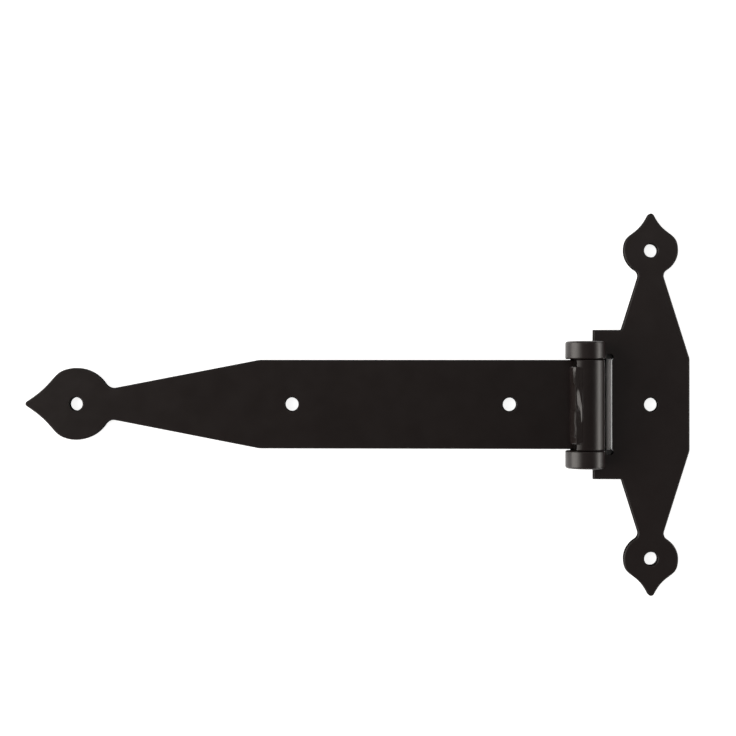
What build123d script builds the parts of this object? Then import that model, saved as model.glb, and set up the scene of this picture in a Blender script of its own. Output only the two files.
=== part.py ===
from build123d import *
import math
import os

# Tee hinge of rolled sheet steel, in millimetres and degrees. It lies on its back, with
# both leaves on the mounting plane z = 0. The origin is under the middle of the pin, +X
# runs to the jamb leaf, +Y along the pin and +Z towards the front.

# Sheet and its broken edges, which are finer in the knuckle and along the back of the strap
SHEET = 3.7
EDGE_BREAK = 0.45
KNUCKLE_BREAK = 0.4
HOLE_BREAK = 0.35

# Pin and knuckle
PIN_RADIUS = 5.0
PIN_CLEARANCE = 0.08
PIN_END_RECESS = 0.3
PIN_END_CHAMFER = 0.5
EYE_SIDE_CLEARANCE = 0.35
EYE_PAST_TOP = 33.0
EAR_WIDTH = 7.9
EAR_ROUND = 1.1
EAR_CURL_GAP = 0.25

# Screw holes
HOLES_PER_LEAF = 3
HOLE_RADIUS = 3.05
STRAP_FIRST_HOLE = 33.2
STRAP_HOLE_PITCH = 98.75
JAMB_HOLE_PITCH = 69.5

# Strap leaf
STRAP_WIDTH = 40.3
STRAP_SHOULDER = 146.7
STRAP_SHOULDER_ROUND = 10.0
STRAP_NECK_WIDTH = 14.8
STRAP_NECK_SETBACK = 18.0
STRAP_NECK_ROUND = 4.5

# Spear of the strap leaf: a round lobe whose flanks swing out to a blunt tip
STRAP_LOBE_HALF_WIDTH = 16.45
STRAP_LOBE_HALF_LENGTH = 16.3
STRAP_SPEAR_REACH = 23.3
STRAP_FLANK_START = 16.0
STRAP_FLANK_PULL = 7.1
STRAP_TIP_PULL = 15.3
STRAP_TIP_HALF_ANGLE = 32.4
STRAP_TIP_ROUND = 1.3

# Jamb leaf
JAMB_CENTRE = 30.35
JAMB_WIDTH = 34.6
JAMB_OUTER_EDGE = 41.5
JAMB_SHOULDER_ROUND = 4.0
JAMB_NECK_WIDTH = 11.2
JAMB_NECK_SETBACK = 11.5
JAMB_NECK_ROUND = 3.0

# Spears of the jamb leaf: an oval lobe with a slimmer tip
JAMB_LOBE_HALF_WIDTH = 12.2
JAMB_LOBE_HALF_LENGTH = 10.95
JAMB_SPEAR_REACH = 16.75
JAMB_FLANK_START = 1.0
JAMB_FLANK_PULL = 8.9
JAMB_TIP_PULL = 11.4
JAMB_TIP_HALF_ANGLE = 26.2
JAMB_TIP_ROUND = 1.5

# Tab of the jamb leaf, the slot that the eye turns in and the notches at the slot's corners
TAB_PAST_EAR = 5.3
TAB_EDGE = 4.5
TAB_FLANK_ROUND = 0.8
UPPER_EAR_ROOT_ROUND = 0.8
LOWER_EAR_ROOT_ROUND = 1.7
SLOT_WALL = 12.9
RELIEF_RADIUS = 1.7
RELIEF_INSET = 1.1
RELIEF_REACH = 2.4

# Weld bead along the open side of the eye. Each swell is how far that stretch of the
# bead stands proud of its wall, from one end of the bead to the other.
WELD_LENGTH = 34.0
WELD_WALL = 0.75
WELD_SWELLS = (0.1, 0.65, 0.75, 0.45, 0.8, 0.55, 0.7, 0.6, 0.15)
WELD_ROOT = 4.2
WELD_FOOT = 5.6
WELD_TOE_PAST_TOP = 13.5
WELD_TOE_PROUD = 0.12
WELD_CROWN_PAST_TOP = 36.0
WELD_FLATS = 10

# Worked out from the sizes above
BORE_RADIUS = PIN_RADIUS + PIN_CLEARANCE
KNUCKLE_RADIUS = BORE_RADIUS + SHEET
PIN_HEIGHT = KNUCKLE_RADIUS
EYE_END = STRAP_WIDTH / 2
EYE_CURL = 180.0 + EYE_PAST_TOP
EAR_START = EYE_END + EYE_SIDE_CLEARANCE
EAR_END = EAR_START + EAR_WIDTH
EAR_CURL = 270.0 + math.degrees(math.asin((BORE_RADIUS - EAR_CURL_GAP) / KNUCKLE_RADIUS))
SLOT_HALF = EAR_START
TAB_HALF = EAR_END + TAB_PAST_EAR
STRAP_LAST_HOLE = STRAP_FIRST_HOLE + (HOLES_PER_LEAF - 1) * STRAP_HOLE_PITCH


def spear(half_width, half_length, reach, start, flank_pull, tip_pull, tip_angle, tip_round):
    """Face of a spear about its screw hole, with its tip towards +X."""
    turn = math.radians(start)
    slope = math.radians(tip_angle)
    leave = Vector(half_length * math.sin(turn), half_width * math.cos(turn))
    along = Vector(half_length * math.cos(turn), -half_width * math.sin(turn)).normalized()
    meet = Vector(reach - tip_round + tip_round * math.sin(slope), tip_round * math.cos(slope))
    arrive = Vector(math.cos(slope), -math.sin(slope))
    upper = Bezier(leave, leave + along * flank_pull, meet - arrive * tip_pull, meet)
    lower = mirror(upper, about=Plane.XZ)
    lobe = EllipticalCenterArc((0, 0), half_length, half_width, 90 - start, arc_size=180 + 2 * start)
    tip = ThreePointArc(upper @ 1, (reach, 0), lower @ 1)
    return make_face([lobe, upper, tip, lower])


def taper(place, shoulder, neck, width, neck_width):
    """Half width of a taper at a place past its shoulder."""
    fall = (width - neck_width) / (neck - shoulder)
    return (width - fall * (place - shoulder)) / 2


def tapered_body(shoulder, neck, end, width, neck_width):
    """Face along +X: parallel from x = 0 to the shoulder, then tapering past the neck to the end."""
    tail = taper(end, shoulder, neck, width, neck_width)
    upper = [(0, width / 2), (shoulder, width / 2), (end, tail)]
    lower = [(x, -y) for x, y in reversed(upper)]
    return make_face(Polyline(*upper, *lower, close=True))


def strap_outline():
    """Face of the strap leaf's flat blank, from the root of its roll to the tip."""
    body = tapered_body(
        STRAP_SHOULDER,
        STRAP_LAST_HOLE - STRAP_NECK_SETBACK,
        STRAP_LAST_HOLE,
        STRAP_WIDTH,
        STRAP_NECK_WIDTH,
    )
    tip = spear(
        STRAP_LOBE_HALF_WIDTH,
        STRAP_LOBE_HALF_LENGTH,
        STRAP_SPEAR_REACH,
        STRAP_FLANK_START,
        STRAP_FLANK_PULL,
        STRAP_TIP_PULL,
        STRAP_TIP_HALF_ANGLE,
        STRAP_TIP_ROUND,
    )
    return Rot(0, 0, 180) * (body + Pos(STRAP_LAST_HOLE, 0) * tip)


def jamb_half_outline():
    """Face of the upper half of the jamb leaf's plate, about its own centreline and laid along +X."""
    body = tapered_body(
        JAMB_OUTER_EDGE / 2,
        JAMB_HOLE_PITCH - JAMB_NECK_SETBACK,
        JAMB_HOLE_PITCH,
        JAMB_WIDTH,
        JAMB_NECK_WIDTH,
    )
    tip = spear(
        JAMB_LOBE_HALF_WIDTH,
        JAMB_LOBE_HALF_LENGTH,
        JAMB_SPEAR_REACH,
        JAMB_FLANK_START,
        JAMB_FLANK_PULL,
        JAMB_TIP_PULL,
        JAMB_TIP_HALF_ANGLE,
        JAMB_TIP_ROUND,
    )
    return body + Pos(JAMB_HOLE_PITCH, 0) * tip


def jamb_flank(y):
    """Where the jamb leaf's flank on the knuckle's side stands at a height above the middle."""
    neck = JAMB_HOLE_PITCH - JAMB_NECK_SETBACK
    return JAMB_CENTRE - taper(y, JAMB_OUTER_EDGE / 2, neck, JAMB_WIDTH, JAMB_NECK_WIDTH)


def jamb_outline():
    """Face of the jamb leaf's flat blank, before its slot is cut."""
    half = jamb_half_outline()
    plate = Pos(JAMB_CENTRE, 0) * (Rot(0, 0, 90) * half + Rot(0, 0, -90) * half)
    tab = Pos((TAB_EDGE + JAMB_CENTRE) / 2, 0) * Rectangle(JAMB_CENTRE - TAB_EDGE, 2 * TAB_HALF)
    tongue = Pos(JAMB_CENTRE / 2, 0) * Rectangle(JAMB_CENTRE, 2 * EAR_END)
    return plate + tab + tongue


def upright_edge(solid, x, y):
    """The edge square to the sheet that stands nearest to a place on it."""
    return solid.edges().filter_by(Axis.Z).sort_by_distance((x, y, SHEET / 2))[0]


def round_corners(solid, places, radius):
    """Round the corners of the outline that stand at or near these places."""
    return fillet([upright_edge(solid, x, y) for x, y in places], radius)


def break_outline(solid, front_break, back_break):
    """Break the front and back outlines, apart from the roll's root at x = 0."""
    front = solid.faces().sort_by(Axis.Z)[-1].outer_wire().edges()
    solid = chamfer(front.sort_by_distance((0, 0, SHEET))[1:], front_break)
    back = solid.faces().sort_by(Axis.Z)[0].outer_wire().edges()
    return chamfer(back.sort_by_distance((0, 0, 0))[1:], back_break)


def screw_hole(x, y):
    """Cutter for one screw hole, with its front rim broken."""
    rim = SHEET - HOLE_BREAK
    outer = HOLE_RADIUS + HOLE_BREAK
    section = [(0, 0), (HOLE_RADIUS, 0), (HOLE_RADIUS, rim), (outer, SHEET), (0, SHEET)]
    return Pos(x, y) * revolve(make_face(Plane.XZ * Polyline(*section, close=True)), Axis.Z)


def roll_section(low_y, high_y):
    """The sheet's section on x = 0, across one rolled band."""
    return Plane.YZ * Pos((low_y + high_y) / 2, SHEET / 2) * Rectangle(high_y - low_y, SHEET)


def roll_up(section, turn, towards_jamb):
    """Roll a section that stands on x = 0 round the pin, to either side of it."""
    direction = (0, -1, 0) if towards_jamb else (0, 1, 0)
    return revolve(section, Axis((0, 0, PIN_HEIGHT), direction), revolution_arc=turn)


def ear(side):
    """One rolled ear of the jamb leaf, on the +Y side or the -Y side of the eye."""
    section = roll_section(EAR_START, EAR_END)
    rim = section.vertices().sort_by_distance((0, EAR_END, 0))
    section = fillet(rim[0], EAR_ROUND)
    section = chamfer(section.vertices().sort_by_distance((0, EAR_END, 0))[2:], KNUCKLE_BREAK)
    upper = roll_up(section, EAR_CURL, towards_jamb=False)
    return upper if side > 0 else mirror(upper, about=Plane.XZ)


def slot_cutter():
    """Cutter for the slot between the ears, with a round notch at each inner corner."""
    slot = Pos(SLOT_WALL / 2, 0, SHEET / 2) * Box(SLOT_WALL, 2 * SLOT_HALF, SHEET)
    notch_x = SLOT_WALL - RELIEF_INSET
    notch_y = SLOT_HALF + RELIEF_REACH - RELIEF_RADIUS
    for side in (1, -1):
        slot += Pos(notch_x, side * notch_y, SHEET / 2) * Cylinder(RELIEF_RADIUS, SHEET)
    return slot


def jamb_leaf():
    """Plate with two spears, its slot, its screw holes and the two ears."""
    leaf = extrude(jamb_outline(), SHEET)
    neck_x = JAMB_NECK_WIDTH / 2
    neck_y = JAMB_HOLE_PITCH - JAMB_LOBE_HALF_LENGTH
    for side, ear_root_round in ((1, UPPER_EAR_ROOT_ROUND), (-1, LOWER_EAR_ROOT_ROUND)):
        necks = [(JAMB_CENTRE - neck_x, side * neck_y), (JAMB_CENTRE + neck_x, side * neck_y)]
        leaf = round_corners(leaf, necks, JAMB_NECK_ROUND)
        leaf = round_corners(leaf, [(jamb_flank(TAB_HALF), side * TAB_HALF)], TAB_FLANK_ROUND)
        leaf = round_corners(leaf, [(TAB_EDGE, side * EAR_END)], ear_root_round)
        shoulder = (JAMB_CENTRE + JAMB_WIDTH / 2, side * JAMB_OUTER_EDGE / 2)
        leaf = round_corners(leaf, [shoulder], JAMB_SHOULDER_ROUND)
    leaf = break_outline(leaf, EDGE_BREAK, EDGE_BREAK)
    leaf -= slot_cutter()
    for row in range(HOLES_PER_LEAF):
        leaf -= screw_hole(JAMB_CENTRE, (row - (HOLES_PER_LEAF - 1) / 2) * JAMB_HOLE_PITCH)
    return leaf + ear(1) + ear(-1)


def round_the_pin(radius, past_top):
    """Point at a distance from the pin's axis, at an angle past the top on the strap's side."""
    turn = math.radians(past_top)
    return Vector(-radius * math.sin(turn), 0, PIN_HEIGHT + radius * math.cos(turn))


def eye():
    """The strap leaf's rolled eye, with the lip at the end of its roll broken too."""
    section = roll_section(-EYE_END, EYE_END)
    section = chamfer(section.vertices(), KNUCKLE_BREAK)
    roll = roll_up(section, EYE_CURL, towards_jamb=True)
    lip = roll.edges().filter_by(Axis.Y).sort_by_distance(round_the_pin(KNUCKLE_RADIUS, EYE_PAST_TOP))
    return chamfer(lip[0], KNUCKLE_BREAK)


def strap_leaf():
    """Strap with its spear, its screw holes and the eye rolled at its root."""
    leaf = extrude(strap_outline(), SHEET)
    neck_x = STRAP_LOBE_HALF_LENGTH - STRAP_LAST_HOLE
    for side in (1, -1):
        leaf = round_corners(leaf, [(neck_x, side * STRAP_NECK_WIDTH / 2)], STRAP_NECK_ROUND)
        shoulder = (-STRAP_SHOULDER, side * STRAP_WIDTH / 2)
        leaf = round_corners(leaf, [shoulder], STRAP_SHOULDER_ROUND)
    leaf = break_outline(leaf, EDGE_BREAK, KNUCKLE_BREAK)
    for hole in range(HOLES_PER_LEAF):
        leaf -= screw_hole(-STRAP_FIRST_HOLE - hole * STRAP_HOLE_PITCH, 0)
    return leaf + eye()


def hinge_pin():
    """Pin that turns freely in the eye and is swaged to fill the ears' bores."""
    journal = Cylinder(PIN_RADIUS, 2 * EAR_START, rotation=(90, 0, 0))
    pin = journal
    held = EAR_WIDTH - PIN_END_RECESS
    for side in (1, -1):
        end = Pos(0, side * (EAR_START + held / 2), 0) * Cylinder(BORE_RADIUS, held, rotation=(90, 0, 0))
        outer_face = end.faces().sort_by(Axis.Y)[-1 if side > 0 else 0]
        pin += chamfer(outer_face.edges(), PIN_END_CHAMFER)
    return Pos(0, 0, PIN_HEIGHT) * pin


def weld_section(y, swell):
    """Section of the weld bead at one place along the pin, with its flank in narrow flats."""
    root = Vector(-WELD_ROOT, 0, SHEET)
    foot = Vector(-WELD_FOOT - swell / 2, 0, SHEET)
    belly = Vector(-BORE_RADIUS - WELD_WALL - swell, 0, PIN_HEIGHT)
    crown = round_the_pin(KNUCKLE_RADIUS + swell, WELD_CROWN_PAST_TOP)
    toe = round_the_pin(KNUCKLE_RADIUS + WELD_TOE_PROUD, WELD_TOE_PAST_TOP)
    inner = round_the_pin(BORE_RADIUS, WELD_TOE_PAST_TOP)
    flank = Spline(foot, belly, crown, toe)
    flats = [flank @ (place / WELD_FLATS) for place in range(WELD_FLATS + 1)]
    return Pos(0, y, 0) * make_face(Polyline(*flats, inner, root, close=True))


def eye_weld(strap):
    """Weld bead, cut where it lies on the strap and kept clear of the pin."""
    spaces = len(WELD_SWELLS) - 1
    sections = [
        weld_section((place / spaces - 0.5) * WELD_LENGTH, swell)
        for place, swell in enumerate(WELD_SWELLS)
    ]
    bead = loft(sections, ruled=True)
    bore = Pos(0, 0, PIN_HEIGHT) * Cylinder(BORE_RADIUS, STRAP_WIDTH, rotation=(90, 0, 0))
    pieces = (bead - strap - bore).solids()
    return pieces.sort_by(SortBy.VOLUME)[-1]


def main():
    """Build each piece and write it to its own file."""
    os.makedirs("parts", exist_ok=True)
    strap = strap_leaf()
    pieces = {
        "jamb_leaf": jamb_leaf(),
        "strap_leaf": strap,
        "eye_weld": eye_weld(strap),
        "hinge_pin": hinge_pin(),
    }
    for name, shape in pieces.items():
        export_step(shape, f"parts/{name}.step")


if __name__ == "__main__":
    main()
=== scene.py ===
"""Looks of a tee hinge in satin black powder coat: its finishes, weld bead, studio and camera."""

import logging
import math
from dataclasses import dataclass
from enum import Enum

import bpy
from mathutils import Euler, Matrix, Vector, noise


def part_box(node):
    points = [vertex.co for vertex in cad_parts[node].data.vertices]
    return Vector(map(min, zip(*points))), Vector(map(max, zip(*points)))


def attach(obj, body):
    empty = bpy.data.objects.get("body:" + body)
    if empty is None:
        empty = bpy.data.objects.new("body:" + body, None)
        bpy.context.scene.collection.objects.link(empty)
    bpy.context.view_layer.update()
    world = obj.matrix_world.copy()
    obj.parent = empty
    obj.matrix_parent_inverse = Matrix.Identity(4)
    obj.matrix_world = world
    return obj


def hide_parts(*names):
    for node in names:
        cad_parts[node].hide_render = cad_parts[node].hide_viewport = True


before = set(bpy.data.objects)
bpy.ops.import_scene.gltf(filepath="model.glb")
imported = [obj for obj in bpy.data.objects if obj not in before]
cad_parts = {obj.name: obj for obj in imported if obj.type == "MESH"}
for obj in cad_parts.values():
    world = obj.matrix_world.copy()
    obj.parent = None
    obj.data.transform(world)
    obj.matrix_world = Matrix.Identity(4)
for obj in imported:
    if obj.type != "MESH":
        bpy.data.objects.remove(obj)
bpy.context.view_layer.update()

MM = 0.001
Colour = tuple[float, float, float]
Span = tuple[float, float]
Ring = list[Vector]
Socket = bpy.types.NodeSocket
log = logging.getLogger("tee_hinge")


def in_mm(metres: float) -> float:
    """Read a length of the frame in millimetres, to a thousandth."""
    return round(metres / MM, 3)


def ease(part: float) -> float:
    """Turn any share of a way into one from 0 to 1 that starts and ends gently."""
    part = min(max(part, 0.0), 1.0)
    return part * part * (3.0 - 2.0 * part)


WELD_LOW, WELD_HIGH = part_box("eye_weld")
PIN_LOW, PIN_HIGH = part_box("hinge_pin")
SHEET = in_mm(WELD_LOW[2])
WELD_HALF = in_mm(WELD_HIGH[1])
PIN_HEIGHT = in_mm((PIN_LOW[2] + PIN_HIGH[2]) / 2)
EYE_HALF = in_mm(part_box("strap_leaf")[1][1])


class Station(Enum):
    """Where a softbox stands round the hinge, as its direction on the floor."""

    LEFT = (-1.0, 0.0)
    RIGHT = (1.0, 0.0)
    HEAD = (0.0, 1.0)
    FOOT = (0.0, -1.0)


class Axis(Enum):
    """The frame's axes, by how they lie to the pin."""

    ACROSS = "X"
    ALONG = "Y"
    UP = "Z"


@dataclass(frozen=True)
class Patch:
    """A rectangle seen from the front, centred along the pin, in metres."""

    middle: float
    half_width: float
    half_length: float


@dataclass(frozen=True)
class Ramp:
    """Painted shade and glow across the pin: where dark ends and light starts, and how light it gets."""

    dark: float
    light: float
    level: float


@dataclass(frozen=True)
class Grain:
    """Soft noise of a real size: its speck and depth in metres, and how many finer layers it has."""

    size: float
    detail: float
    depth: float = 0.0


@dataclass(frozen=True)
class Track:
    """A size that changes smoothly along the pin, given at a few places from -Y to +Y."""

    stops: tuple[Span, ...]

    def at(self, place: float) -> float:
        """Read the size at one place.

        Args:
            place: Place along the pin, in millimetres.

        Returns:
            The size there, which stays constant beyond the first and last stops.
        """
        value = self.stops[0][1]
        for (start, before), (end, after) in zip(self.stops, self.stops[1:]):
            if place > start:
                value = before + (after - before) * ease((place - start) / (end - start))
        return value


class ShaderBench:
    """The node tree of a material or a world, with short ways to add nodes and join them."""

    def __init__(self, block: bpy.types.Material | bpy.types.World) -> None:
        """Start an empty node tree.

        Args:
            block: Material or world that the tree belongs to.
        """
        block.use_nodes = True
        self.tree = block.node_tree
        self.tree.nodes.clear()
        self.ending = "World" if isinstance(block, bpy.types.World) else "Material"

    def add(self, kind: str, **values: float | tuple[float, ...]) -> bpy.types.Node:
        """Add a node.

        Args:
            kind: The node's type in Blender.
            values: Values for its sockets, with the socket's name in lower case and _ for a space.

        Returns:
            The new node.
        """
        node = self.tree.nodes.new(kind)
        for socket in node.inputs:
            key = socket.name.lower().replace(" ", "_")
            if key in values and socket.enabled:
                socket.default_value = values[key]
        return node

    def feed(self, value: Socket | float | Colour, target: Socket) -> None:
        """Give an input its value.

        Args:
            value: An output, which is linked to the input, or a plain value, which is set on it.
            target: The input.
        """
        if isinstance(value, bpy.types.NodeSocket):
            self.tree.links.new(value, target)
        else:
            target.default_value = value

    def show(self, shader: Socket) -> None:
        """Send a shader to the tree's output."""
        output = self.add(f"ShaderNodeOutput{self.ending}")
        self.feed(shader, output.inputs["Surface"])

    def place(self) -> Socket:
        """Give the surface's place on the unmoved piece, in metres."""
        return self.add("ShaderNodeTexCoord").outputs["Object"]

    def facing(self) -> Socket:
        """Give the direction that the surface of the unmoved piece faces."""
        return self.add("ShaderNodeTexCoord").outputs["Normal"]

    def part_of(self, vector: Socket, axis: Axis) -> Socket:
        """Take one axis out of a vector.

        Args:
            vector: The vector.
            axis: Axis to take.

        Returns:
            The vector's value on that axis.
        """
        axes = self.add("ShaderNodeSeparateXYZ")
        self.feed(vector, axes.inputs["Vector"])
        return axes.outputs[axis.value]

    def combine(self, operation: str, *terms: Socket | float) -> Socket:
        """Combine values with a Math node.

        Args:
            operation: The Math node's operation.
            terms: Its inputs, each a socket or a plain value.

        Returns:
            The result.
        """
        node = self.add("ShaderNodeMath")
        node.operation = operation
        for term, target in zip(terms, node.inputs):
            self.feed(term, target)
        return node.outputs["Value"]

    def between(self, share: Socket, none: Socket | float, whole: Socket | float) -> Socket:
        """Pass from one value to another, by a share from 0 for none of the way to 1 for the whole."""
        return self.combine("MULTIPLY_ADD", share, self.combine("SUBTRACT", whole, none), none)

    def remap(self, value: Socket, source: Span, target: Span) -> Socket:
        """Turn one range of values into another.

        Args:
            value: The value, which is held inside its range.
            source: Both ends of its range.
            target: Both ends of the new range.

        Returns:
            The value in its new range.
        """
        (start, end), (low, high) = source, target
        node = self.add("ShaderNodeMapRange", from_min=start, from_max=end, to_min=low, to_max=high)
        self.feed(value, node.inputs["Value"])
        return node.outputs["Result"]

    def within(self, axis: Axis, middle: float, half: float) -> Socket:
        """Mark with 1 the places inside a band across an axis, by its middle and half its width."""
        return self.combine("COMPARE", self.part_of(self.place(), axis), middle, half)

    def inside(self, patch: Patch) -> Socket:
        """Mark with 1 the places inside a patch."""
        beside = self.within(Axis.ACROSS, patch.middle, patch.half_width)
        return self.combine("MULTIPLY", beside, self.within(Axis.ALONG, 0.0, patch.half_length))

    def scaled(self, colour: Socket | Colour, factor: Socket) -> Socket:
        """Make a colour lighter or darker.

        Args:
            colour: The colour.
            factor: What it is multiplied by.

        Returns:
            The new colour.
        """
        tint = self.add("ShaderNodeVectorMath")
        tint.operation = "SCALE"
        self.feed(colour, tint.inputs[0])
        self.feed(factor, tint.inputs["Scale"])
        return tint.outputs["Vector"]

    def speckle(self, grain: Grain) -> Socket:
        """Add a grain's noise.

        Args:
            grain: The grain.

        Returns:
            The noise's value, about a half on average.
        """
        texture = self.add("ShaderNodeTexNoise", scale=1.0 / grain.size, detail=grain.detail)
        self.feed(self.place(), texture.inputs["Vector"])
        return texture.outputs["Fac"]

    def relief(self, grain: Grain, below: Socket) -> Socket:
        """Add a grain's relief over a surface.

        Args:
            grain: The grain.
            below: The surface's normal without it.

        Returns:
            The surface's new normal.
        """
        bump = self.add("ShaderNodeBump", strength=1.0, distance=grain.depth)
        self.feed(self.speckle(grain), bump.inputs["Height"])
        self.feed(below, bump.inputs["Normal"])
        return bump.outputs["Normal"]


@dataclass(frozen=True)
class PowderCoat:
    """Satin black powder coat: a dark, faintly warm film with orange peel and softened edges.

    The film is thin and dull on the sheet's sheared walls, which are its upright faces below
    cut_below, but not on the slot's far wall. Most values of a noise lie in noise_span, which
    is spread over mottle and rough.
    """

    name: str
    shade: Colour = (0.0105, 0.0066, 0.0060)
    noise_span: Span = (0.3, 0.7)
    mottle: Span = (0.95, 1.05)
    mottle_grain: Grain = Grain(14.0 * MM, 4.0)
    rough: Span = (0.28, 0.33)
    rough_grain: Grain = Grain(7.0 * MM, 3.0)
    waves: Grain = Grain(9.0 * MM, 1.0, 0.02 * MM)
    peel: Grain = Grain(1.1 * MM, 2.0, 0.006 * MM)
    edge_round: float = 0.3 * MM
    edge_samples: int = 6
    ior: float = 1.5
    shine: float = 0.5
    cut_below: float = (SHEET + 0.01) * MM
    cut_facing: Span = (0.5, 0.95)
    cut_rough: float = 0.7
    cut_shine: float = 0.0
    cut_shade: Colour = (0.0082, 0.0074, 0.0072)
    far_wall: Patch = Patch(12.9 * MM, 1.2 * MM, 21.0 * MM)

    def make(self) -> bpy.types.Material:
        """Build the coat's material.

        Returns:
            The material, ready to assign.
        """
        material = bpy.data.materials.new(self.name)
        bench = ShaderBench(material)
        surface = bench.add("ShaderNodeBsdfPrincipled", ior=self.ior)
        cut = self._cut(bench)
        bench.feed(self._colour(bench, cut), surface.inputs["Base Color"])
        bench.feed(self._gloss(bench, cut), surface.inputs["Roughness"])
        bench.feed(self._shine(bench, cut), surface.inputs["Specular IOR Level"])
        bench.feed(self._normal(bench), surface.inputs["Normal"])
        bench.show(surface.outputs["BSDF"])
        return material

    def _cut(self, bench: ShaderBench) -> Socket:
        """Mark the sheared walls, and in part the sheet's broken edges.

        Args:
            bench: Node tree that the nodes go into.

        Returns:
            1 on a sheared wall, 0 elsewhere, and a share between on a broken edge.
        """
        flatness = bench.combine("ABSOLUTE", bench.part_of(bench.facing(), Axis.UP))
        upright = bench.remap(flatness, self.cut_facing, (1.0, 0.0))
        low = bench.combine("LESS_THAN", bench.part_of(bench.place(), Axis.UP), self.cut_below)
        sheared = bench.combine("MULTIPLY", upright, low)
        return bench.between(bench.inside(self.far_wall), sheared, 0.0)

    def _colour(self, bench: ShaderBench, cut: Socket) -> Socket:
        """Vary the film's shade in soft patches, as its thickness does.

        Args:
            bench: Node tree that the nodes go into.
            cut: Mark of the sheared walls, which have a shade of their own.

        Returns:
            The film's colour.
        """
        film = bench.add("ShaderNodeMixRGB", color1=(*self.shade, 1.0), color2=(*self.cut_shade, 1.0))
        bench.feed(cut, film.inputs["Fac"])
        patches = bench.remap(bench.speckle(self.mottle_grain), self.noise_span, self.mottle)
        return bench.scaled(film.outputs["Color"], patches)

    def _gloss(self, bench: ShaderBench, cut: Socket) -> Socket:
        """Vary the film's roughness in soft patches, and dull the sheared walls."""
        patches = bench.remap(bench.speckle(self.rough_grain), self.noise_span, self.rough)
        return bench.between(cut, patches, self.cut_rough)

    def _shine(self, bench: ShaderBench, cut: Socket) -> Socket:
        """Take the mirror level from the sheared walls."""
        return bench.between(cut, self.shine, self.cut_shine)

    def _normal(self, bench: ShaderBench) -> Socket:
        """Soften the sheet's edges, then add slow waves and fine orange peel.

        Args:
            bench: Node tree that the nodes go into.

        Returns:
            The film's normal.
        """
        edge = bench.add("ShaderNodeBevel", radius=self.edge_round)
        edge.samples = self.edge_samples
        return bench.relief(self.peel, bench.relief(self.waves, edge.outputs["Normal"]))


@dataclass(frozen=True)
class PinCoat(PowderCoat):
    """Powder coat on a pin's two ends. Its middle, which the coat can't reach, is rough bare steel with
    little shine, and its dark colour is painted shade for the shaded gaps of the eye beside the weld.
    """

    # painted shade: the middle's dark colour stands in for the shade in the eye's gaps beside the weld
    painted_gap_shade: float = 0.25
    scale_rough: float = 0.9
    scale_shine: float = 0.06
    ear_gap: float = 0.35 * MM

    def _bare_shaded_middle(self, bench: ShaderBench) -> Socket:
        """Mark the middle, which runs from ear to ear."""
        return bench.within(Axis.ALONG, 0.0, EYE_HALF * MM + self.ear_gap)

    def _colour(self, bench: ShaderBench, cut: Socket) -> Socket:
        """Darken the middle with painted shade."""
        dark = bench.between(self._bare_shaded_middle(bench), 1.0, self.painted_gap_shade)
        return bench.scaled(super()._colour(bench, cut), dark)

    def _gloss(self, bench: ShaderBench, cut: Socket) -> Socket:
        """Make the middle as rough as mill scale."""
        return bench.between(self._bare_shaded_middle(bench), super()._gloss(bench, cut), self.scale_rough)

    def _shine(self, bench: ShaderBench, cut: Socket) -> Socket:
        """Take most of the mirror level from the middle."""
        return bench.between(self._bare_shaded_middle(bench), super()._shine(bench, cut), self.scale_shine)


# painted light: the jamb's coat is the strap's coat made lighter, to make up for the light that the jamb
# gets less of
JAMB_COAT_LIGHTENED = PowderCoat("jamb_coat", shade=(0.0152, 0.0106, 0.0101))
STRAP_COAT = PowderCoat("strap_coat")
PIN_COAT = PinCoat("pin_coat")
WELD_COAT = PowderCoat("weld_coat", peel=Grain(0.9 * MM, 2.0, 0.012 * MM), edge_round=0.05 * MM)


@dataclass(frozen=True)
class PlainPiece:
    """A leaf or the pin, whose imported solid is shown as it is, under its own coat."""

    node: str
    coat: PowderCoat

    def dress(self) -> bpy.types.Object:
        """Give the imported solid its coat.

        Returns:
            The dressed object.
        """
        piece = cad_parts[self.node]
        piece.data.materials.clear()
        piece.data.materials.append(self.coat.make())
        return piece


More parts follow.
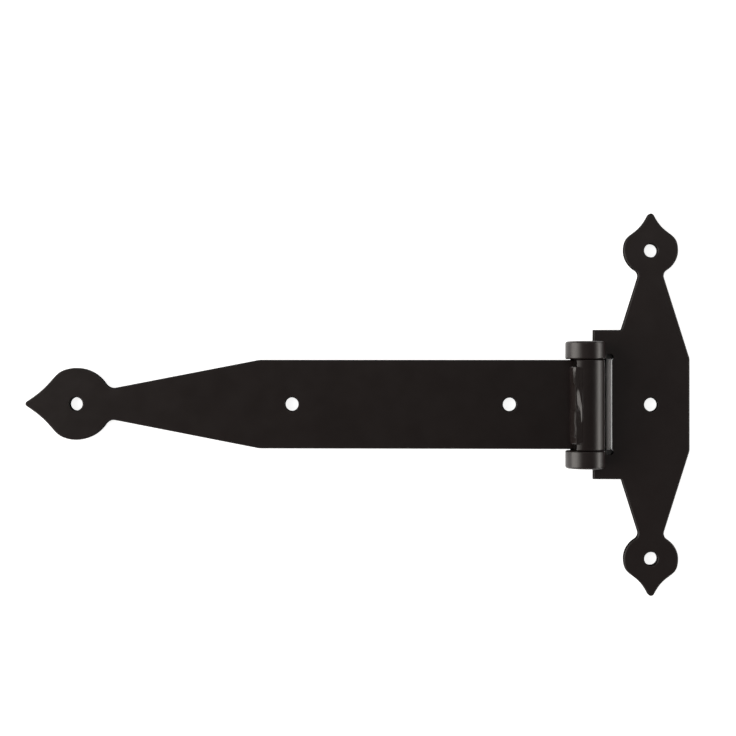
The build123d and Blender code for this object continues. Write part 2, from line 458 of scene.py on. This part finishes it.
@dataclass(frozen=True)
class WeldBead:
    """Painted weld bead that closes the eye, in millimetres and degrees.

    Its top runs to the left from a low toe on the eye, nearly flat, to a crest. A bright blade
    is twisted into it where it falls away. Past the crest a shoulder bends down, and the wall
    drops from its brow to the strap. Tilts are measured from level, to the left. The eye
    stands level with the sheet's back, so its radius is the pin's height.
    """

    coat: PowderCoat
    name: str = "weld_bead"
    node: str = "eye_weld"
    slot: str = "weld_coating"
    body: str = "strap"

    # Whole bead
    half_length: float = WELD_HALF
    row_pitch: float = 0.2
    pin_height: float = PIN_HEIGHT
    eye_radius: float = PIN_HEIGHT
    strap_front: float = SHEET
    sink: float = 0.03
    crease: float = 50.0

    # Toe on the eye
    toe: float = -1.9
    toe_width: float = 0.45
    toe_rise: Track = Track(((-10.0, 0.10), (-6.0, 0.26), (4.0, 0.26), (8.0, 0.10)))
    toe_columns: int = 5

    # Nearly flat top
    flat_tilt: float = 10.0
    flat_wander: float = 3.0
    wander_rate: Span = (0.7, 0.3)
    crest: Track = Track((
        (-17.0, -4.8), (-11.0, -4.75), (-6.5, -4.95), (-3.0, -4.75),
        (0.0, -4.95), (8.0, -5.2), (13.0, -5.15), (16.5, -4.95),
    ))
    top_columns: int = 48

    # Bright blade
    blade_right: Track = Track((
        (-8.3, -2.55), (-6.5, -2.4), (-3.0, -2.35), (-1.2, -2.42),
        (0.5, -2.6), (2.3, -2.95), (5.0, -3.35), (7.6, -3.9),
    ))
    blade_left: Track = Track((
        (-8.3, -2.75), (-6.5, -3.05), (-3.0, -3.2), (-1.2, -3.9),
        (0.5, -4.5), (2.3, -4.7), (5.0, -4.85), (7.6, -4.7),
    ))
    blade_tilt: Track = Track((
        (-9.0, 10.0), (-7.0, 32.0), (-2.0, 36.0), (0.0, 32.5), (4.0, 32.5), (6.0, 28.0), (8.0, 10.0),
    ))
    blade_fade: Span = (0.12, 0.36)

    # Shoulder
    shoulder_width: Track = Track((
        (-14.5, 0.1), (-13.0, 0.8), (-3.0, 0.8), (-1.5, 0.1), (8.0, 0.1), (11.0, 0.9), (16.0, 1.2),
    ))
    shoulder_tilt: Track = Track((
        (-14.0, 14.0), (-12.5, 22.0), (-4.0, 22.0), (-2.0, 14.0),
        (8.0, 14.0), (11.0, 17.0), (14.0, 24.0), (16.5, 40.0),
    ))
    shoulder_rate: float = 3.0
    shoulder_columns: int = 10

    # Wall
    wall_belly: Span = (-7.0, 9.5)
    belly_follow: float = 0.4
    foot: float = -5.9
    wall_columns: int = 18
    ripple: float = 0.22
    ripple_pitch: Span = (4.8, 2.4)
    ripple_layer: float = 5.0

    # Hidden side
    bore_radius: float = 5.1
    bore_turn: Span = (245.0, 123.0)
    bore_columns: int = 9
    under_turn: float = 33.0
    under_step: float = 5.0
    under_columns: int = 5

    # Roughness and ends
    grain: float = 0.03
    grain_rate: tuple[float, float, float] = (2.2, 1.1, 1.0)
    end_round: float = 0.35
    end_slant: Span = (0.5, -0.4)
    slant_from: float = 9.0

    def build(self) -> bpy.types.Object:
        """Make the bead, put it in the place of its plain solid and coat it.

        Returns:
            The bead, riding on the strap.
        """
        rows = round(2 * self.half_length / self.row_pitch)
        places = [(row / rows * 2 - 1) * self.half_length for row in range(rows + 1)]
        mesh = self._skin([self._ring(place) for place in places])
        mesh.materials.append(self.coat.make())
        bead = bpy.data.objects.new(self.name, mesh)
        bpy.context.scene.collection.objects.link(bead)
        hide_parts(self.node)
        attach(bead, self.body)
        return bead

    def _eye_top(self, x: float, radius: float) -> float:
        """Height of a circle about the pin, at a place on its upper half."""
        return self.pin_height + math.sqrt(radius * radius - x * x)

    def _tilt(self, x: float, place: float) -> float:
        """Tilt of the bead's top at one spot.

        Args:
            x: Place across the pin.
            place: Place along the pin.

        Returns:
            The tilt, which is steep in the blade.
        """
        across, along = self.wander_rate
        flat = self.flat_tilt + self.flat_wander * noise.noise(Vector((across * x, along * place, 0.0)))
        into_right = ease((self.blade_right.at(place) - x) / self.blade_fade[0])
        into_left = ease((x - self.blade_left.at(place)) / self.blade_fade[1])
        return flat + (self.blade_tilt.at(place) - flat) * into_right * into_left

    @staticmethod
    def _step(spot: Vector, width: float, tilt: float) -> Vector:
        """Go one step to the left, down a tilt."""
        return spot - Vector((width, 0, width * math.tan(math.radians(tilt))))

    def _top(self, place: float) -> Ring:
        """Section of the bead's top, from its toe to its brow.

        Args:
            place: Place along the pin.

        Returns:
            The section's points, from right to left.
        """
        section = self._toe(place)
        crest = self.crest.at(place)
        width = (section[-1].x - crest) / self.top_columns
        for _ in range(self.top_columns):
            section.append(self._step(section[-1], width, self._tilt(section[-1].x, place)))
        flat = self._tilt(crest, place)
        width = self.shoulder_width.at(place) / self.shoulder_columns
        for column in range(self.shoulder_columns):
            turn = ease(self.shoulder_rate * (column + 1) / self.shoulder_columns)
            tilt = flat + (self.shoulder_tilt.at(place) - flat) * turn
            section.append(self._step(section[-1], width, tilt))
        return section

    def _toe(self, place: float) -> Ring:
        """Section of the bead's toe, where it rises out of the eye.

        Args:
            place: Place along the pin.

        Returns:
            The section's points, from right to left.
        """
        section = []
        for column in range(self.toe_columns):
            part = column / (self.toe_columns - 1)
            rise = self.toe_rise.at(place) * ease(part) - self.sink * (1.0 - ease(part))
            x = self.toe - self.toe_width * part
            section.append(Vector((x, place, self._eye_top(x, self.eye_radius) + rise)))
        return section

    def _wall(self, brow: Vector, place: float) -> Ring:
        """Section of the bead's rippled wall.

        Args:
            brow: Point that the wall starts from.
            place: Place along the pin.

        Returns:
            The section's points, from below the brow to the foot.
        """
        section = []
        follow = self.belly_follow * (brow.x - self.crest.at(place))
        belly = Vector((self.wall_belly[0] + follow, place, self.wall_belly[1]))
        foot = Vector((self.foot, place, self.strap_front - self.sink))
        down, along = self.ripple_pitch
        for column in range(1, self.wall_columns + 1):
            part = column / self.wall_columns
            spot = brow.lerp(belly, part).lerp(belly.lerp(foot, part), part)
            wave = noise.noise(Vector((spot.z / down, place / along, self.ripple_layer)))
            spot.x -= self.ripple * wave * math.sin(math.pi * part)
            section.append(spot)
        return section

    def _inner(self, place: float) -> Ring:
        """Hidden side of the bead, which goes round the bore and back under the eye's skin.

        Args:
            place: Place along the pin.

        Returns:
            The section's points, from the foot to the toe.
        """
        start, end = (math.radians(turn) for turn in self.bore_turn)
        section = []
        for column in range(self.bore_columns):
            turn = start + (end - start) * column / (self.bore_columns - 1)
            x = self.bore_radius * math.cos(turn)
            height = self.pin_height + self.bore_radius * math.sin(turn)
            section.append(Vector((x, place, max(height, self.strap_front))))
        under = self.eye_radius - 2 * self.sink
        for column in range(self.under_columns):
            x = -under * math.sin(math.radians(self.under_turn - self.under_step * column))
            section.append(Vector((x, place, self._eye_top(x, under))))
        return section

    def _ring(self, place: float) -> Ring:
        """Whole closed section.

        Args:
            place: Place along the pin.

        Returns:
            The section's points, in metres.
        """
        top = self._top(place)
        outer = self._finished(top + self._wall(top[-1], place), place)
        inner = self._inner(place)
        for point in inner:
            point.y += self._slant(place, 1.0)
        return [point * MM for point in outer + inner]

    def _finished(self, outer: Ring, place: float) -> Ring:
        """Roughen the outer side of a section, draw it in at the bead's ends and set it askew.

        Args:
            outer: The section's outer side, smooth.
            place: Place along the pin.

        Returns:
            The side's points, each moved a little.
        """
        from_end = min(self.half_length - abs(place), self.end_round)
        inset = self.end_round - math.sqrt(self.end_round**2 - (self.end_round - from_end) ** 2)
        across, along, up = self.grain_rate
        last = len(outer) - 1
        drawn = []
        for column, point in enumerate(outer):
            run = outer[min(column + 1, last)] - outer[max(column - 1, 0)]
            out = Vector((run.z, 0, -run.x)).normalized()
            rough = self.grain * noise.noise(Vector((point.x * across, place * along, point.z * up)))
            moved = point + out * (rough - inset)
            moved.y += self._slant(place, column / self.top_columns)
            drawn.append(moved)
        return drawn

    def _slant(self, place: float, across: float) -> float:
        """Shift along the pin that sets the bead's lower end askew.

        Args:
            place: Place along the pin.
            across: Share of the way from the toe to the crest.

        Returns:
            The shift, which grows towards the lower end.
        """
        toe, crest = self.end_slant
        part = ease((-place - self.slant_from) / (self.half_length - self.slant_from))
        return (toe + (crest - toe) * min(across, 1.0)) * part

    def _skin(self, rings: list[Ring]) -> bpy.types.Mesh:
        """Join the sections into one closed skin.

        Args:
            rings: Sections of equal length, from -Y to +Y.

        Returns:
            The mesh, smooth but for its ends.
        """
        count = len(rings[0])
        points = [point for ring in rings for point in ring]
        faces = []
        for row in range(len(rings) - 1):
            for column in range(count):
                near = row * count + column
                side = row * count + (column + 1) % count
                faces.append((near, near + count, side + count, side))
        first = tuple(range(count))
        last = tuple((len(rings) - 1) * count + column for column in reversed(range(count)))
        mesh = bpy.data.meshes.new(self.name)
        mesh.from_pydata(points, [], faces + [first, last])
        mesh.shade_smooth()
        mesh.set_sharp_from_angle(angle=math.radians(self.crease))
        return mesh


@dataclass(frozen=True)
class Softbox:
    """One upright soft panel that stands beside the hinge and faces it.

    It reaches from low to high, in degrees above the floor as the hinge sees it.
    """

    station: Station
    radiance: float
    low: float
    high: float
    tint: Colour = (1.0, 0.96, 0.91)
    distance: float = 1.2
    width: float = 1.6

    def build(self) -> bpy.types.Object:
        """Make the lamp.

        Returns:
            The lamp's object.
        """
        bottom = self.distance * math.tan(math.radians(self.low))
        top = self.distance * math.tan(math.radians(self.high))
        lamp = bpy.data.lights.new(f"softbox_{self.station.name.lower()}_{self.low:.0f}", "AREA")
        lamp.shape = "RECTANGLE"
        lamp.size = self.width
        lamp.size_y = top - bottom
        lamp.color = self.tint
        lamp.energy = self.radiance * math.pi * lamp.size * lamp.size_y
        stand = bpy.data.objects.new(lamp.name, lamp)
        outwards = Vector((*self.station.value, 0.0))
        stand.location = outwards * self.distance + Vector((0, 0, (bottom + top) / 2))
        stand.rotation_euler = outwards.to_track_quat("Z", "Y").to_euler()
        stand.visible_camera = False
        bpy.context.scene.collection.objects.link(stand)
        return stand


@dataclass(frozen=True)
class Studio:
    """Pale floor, dim ceiling and softboxes on four sides.

    The floor is lifted to white for the camera and for reflections. Inside the jamb leaf's
    slot it has painted shadow: it is darker towards the eye, which hangs over it, and at the
    slot's ends. There reflections see only a painted glow by the slot's far wall, which puts a
    painted highlight on that wall.
    """

    floor_half: float = 1.1
    floor_drop: float = 0.05 * MM
    floor_shade: Colour = (0.8, 0.8, 0.8)
    camera_lift: float = 0.85
    glossy_lift: float = 0.75
    slot: Patch = Patch(4.0 * MM, 9.5 * MM, 23.2 * MM)
    # Painted shadow on the slot's floor, and a painted reflection glow by its far wall.
    painted_end_shade_from: float = 20.6 * MM
    painted_end_shade: float = 0.25
    painted_slot_shadow: Ramp = Ramp(10.5 * MM, 12.4 * MM, 1.85)
    painted_reflection_glow: Ramp = Ramp(12.0 * MM, 12.4 * MM, 1.9)
    ceiling: float = 0.105
    boxes: tuple[Softbox, ...] = (
        Softbox(Station.LEFT, 4.2, 0, 38),
        Softbox(Station.LEFT, 2.3, 38, 50),
        Softbox(Station.LEFT, 0.8, 50, 60),
        Softbox(Station.RIGHT, 4.8, 0, 12),
        Softbox(Station.RIGHT, 2.7, 12, 20),
        Softbox(Station.RIGHT, 1.1, 20, 32),
        Softbox(Station.HEAD, 0.3, 0, 40),
        Softbox(Station.HEAD, 1.5, 62, 76),
        Softbox(Station.FOOT, 0.3, 0, 40),
    )

    def build(self) -> None:
        """Build the floor, the world and the lamps."""
        self._floor()
        self._world()
        for box in self.boxes:
            log.info("lamp %s", box.build().name)

    def _floor(self) -> None:
        """Lay the floor just under the hinge's back."""
        corners = [
            (x * self.floor_half, y * self.floor_half, -self.floor_drop)
            for x, y in ((-1, -1), (1, -1), (1, 1), (-1, 1))
        ]
        mesh = bpy.data.meshes.new("floor")
        mesh.from_pydata(corners, [], [(0, 1, 2, 3)])
        mesh.materials.append(self._floor_paint())
        floor = bpy.data.objects.new("floor", mesh)
        bpy.context.scene.collection.objects.link(floor)

    def _floor_paint(self) -> bpy.types.Material:
        """Make the floor's matt white with its lift, and the painted shadow and glow in the slot.

        Returns:
            The material.
        """
        material = bpy.data.materials.new("floor_white")
        bench = ShaderBench(material)
        in_slot = bench.inside(self.slot)
        matt = bench.add("ShaderNodeBsdfDiffuse")
        # painted shadow: the slot's floor is darker towards the eye and at the slot's ends
        shade = bench.between(in_slot, 1.0, self._across(bench, self.painted_slot_shadow))
        bench.feed(bench.scaled(self.floor_shade, shade), matt.inputs["Color"])
        glow = bench.add("ShaderNodeEmission")
        bench.feed(self._lift(bench, in_slot), glow.inputs["Strength"])
        both = bench.add("ShaderNodeAddShader")
        bench.feed(matt.outputs["BSDF"], both.inputs[0])
        bench.feed(glow.outputs["Emission"], both.inputs[1])
        bench.show(both.outputs["Shader"])
        return material

    def _across(self, bench: ShaderBench, ramp: Ramp) -> Socket:
        """Paint shade on the slot's floor, darker towards the eye and at the slot's ends.

        Args:
            bench: Node tree that the nodes go into.
            ramp: How the floor goes from dark to light.

        Returns:
            The floor's painted level inside the slot.
        """
        place = bench.part_of(bench.place(), Axis.ACROSS)
        level = bench.remap(place, (ramp.dark, ramp.light), (0.0, ramp.level))
        clear_of_ends = bench.within(Axis.ALONG, 0.0, self.painted_end_shade_from)
        return bench.between(clear_of_ends, self.painted_end_shade, level)

    def _lift(self, bench: ShaderBench, in_slot: Socket) -> Socket:
        """Give the floor's glow as the camera and reflections see it.

        Args:
            bench: Node tree that the nodes go into.
            in_slot: Mark of the slot, where only reflections see a glow, a painted reflection by its far
                wall.

        Returns:
            The glow's strength.
        """
        path = bench.add("ShaderNodeLightPath")
        seen = bench.combine("MULTIPLY", path.outputs["Is Camera Ray"], self.camera_lift)
        mirrored = bench.combine("MULTIPLY", path.outputs["Is Glossy Ray"], self.glossy_lift)
        # painted reflection: in the slot, reflections see the glow only by the far wall, which gives
        # that wall a painted highlight
        painted_wall_glow = bench.combine("MULTIPLY", mirrored, self._across(bench, self.painted_reflection_glow))
        return bench.between(in_slot, bench.combine("ADD", seen, mirrored), painted_wall_glow)

    def _world(self) -> None:
        """Make a dim grey ceiling that the camera sees as white beyond the floor."""
        world = bpy.data.worlds.new("studio")
        bench = ShaderBench(world)
        path = bench.add("ShaderNodeLightPath")
        sky = bench.add("ShaderNodeBackground", color=(1.0, 1.0, 1.0, 1.0))
        level = bench.remap(path.outputs["Is Camera Ray"], (0.0, 1.0), (self.ceiling, 1.0))
        bench.feed(level, sky.inputs["Strength"])
        bench.show(sky.outputs["Background"])
        bpy.context.scene.world = world


@dataclass(frozen=True)
class PhotoCamera:
    """Camera that looks almost straight down on the hinge from its left, with its turn in degrees."""

    place: tuple[float, float, float] = (-80.006 * MM, 14.36 * MM, 600 * MM)
    turn: tuple[float, float, float] = (0.201, 1.66, 0.032)
    lens: float = 64.35
    sensor: float = 36.0

    def build(self) -> bpy.types.Object:
        """Make the camera and look through it.

        Returns:
            The camera's object.
        """
        camera = bpy.data.cameras.new("photo_camera")
        camera.lens = self.lens
        camera.sensor_width = self.sensor
        camera.dof.use_dof = False
        mount = bpy.data.objects.new("photo_camera", camera)
        mount.location = self.place
        mount.rotation_euler = Euler([math.radians(angle) for angle in self.turn])
        bpy.context.scene.collection.objects.link(mount)
        bpy.context.scene.camera = mount
        return mount


def clear_defaults() -> None:
    """Remove the cube, lamp and camera that a new file starts with."""
    for name in ("Cube", "Light", "Camera"):
        spare = bpy.data.objects.get(name)
        if spare is not None:
            bpy.data.objects.remove(spare)


def main() -> None:
    """Build the camera, the studio and the dressed hinge, in that order."""
    logging.basicConfig(level=logging.INFO, format="%(name)s: %(message)s")
    clear_defaults()
    bpy.context.scene.view_settings.view_transform = "Standard"
    log.info("camera %s", PhotoCamera().build().name)
    Studio().build()
    pieces = (
        PlainPiece("jamb_leaf", JAMB_COAT_LIGHTENED),
        PlainPiece("strap_leaf", STRAP_COAT),
        PlainPiece("hinge_pin", PIN_COAT),
    )
    for piece in pieces:
        log.info("dressed %s", piece.dress().name)
    log.info("built %s", WeldBead(WELD_COAT).build().name)


if __name__ == "__main__":
    main()
